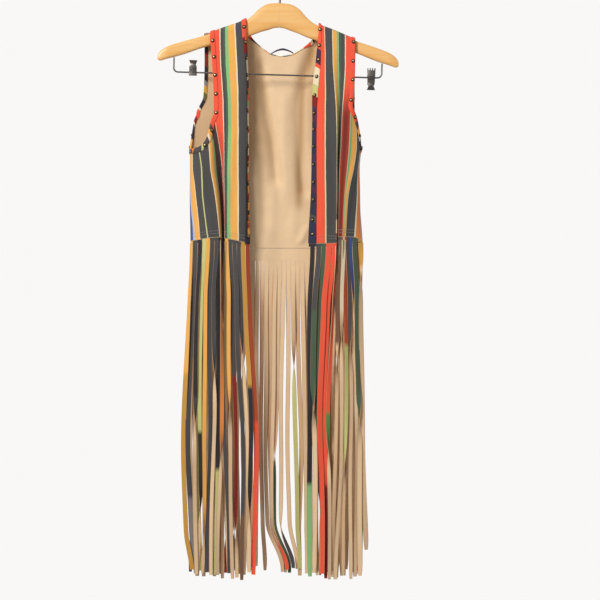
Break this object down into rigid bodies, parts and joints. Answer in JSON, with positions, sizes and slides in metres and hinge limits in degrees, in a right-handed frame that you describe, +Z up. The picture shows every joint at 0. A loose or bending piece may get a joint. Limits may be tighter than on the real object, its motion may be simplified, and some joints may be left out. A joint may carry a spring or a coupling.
{
  "type": "fringed vest on a hanger",
  "caption": "Long open sleeveless vest of serape-striped suede cloth with studded bindings and a deep strip fringe, on a wooden clip hanger.",
  "frame": {"origin": "inside of the hook's crown, where the hanger rests on a rail", "axes": "+Z up along the hanging vest, -Y the way the vest's front faces, +X towards the wearer's left side"},
  "size_m": [0.44, 0.06, 1.1347],
  "materials": {
    "striped_suede": "printed suede knit, tan inside",
    "binding_tape": "striped bias tape",
    "label": "satin tape",
    "loop_tape": "matt tape",
    "hanger_wood": "clear varnish",
    "steel": "dull plated",
    "stud_brass": "antiqued"
  },
  "bodies": {
    "root": {"back": "striped_suede", "front_right": "striped_suede", "front_left": "striped_suede", "fringe_front_right": "striped_suede", "fringe_front_left": "striped_suede", "fringe_back": "striped_suede", "binding_front_right": "binding_tape", "binding_front_left": "binding_tape", "binding_armhole_right_front": "binding_tape", "binding_armhole_left_front": "binding_tape", "binding_armhole_right_back": "binding_tape", "binding_armhole_left_back": "binding_tape", "binding_neck": "binding_tape", "neck_label": "label", "neck_loop": "loop_tape", "hanger_wood_right": "hanger_wood", "hanger_wood_left": "hanger_wood", "hook": "steel", "clip_bar": "steel", "clip_right": "steel", "clip_left": "steel"}
  },
  "joints": []
}
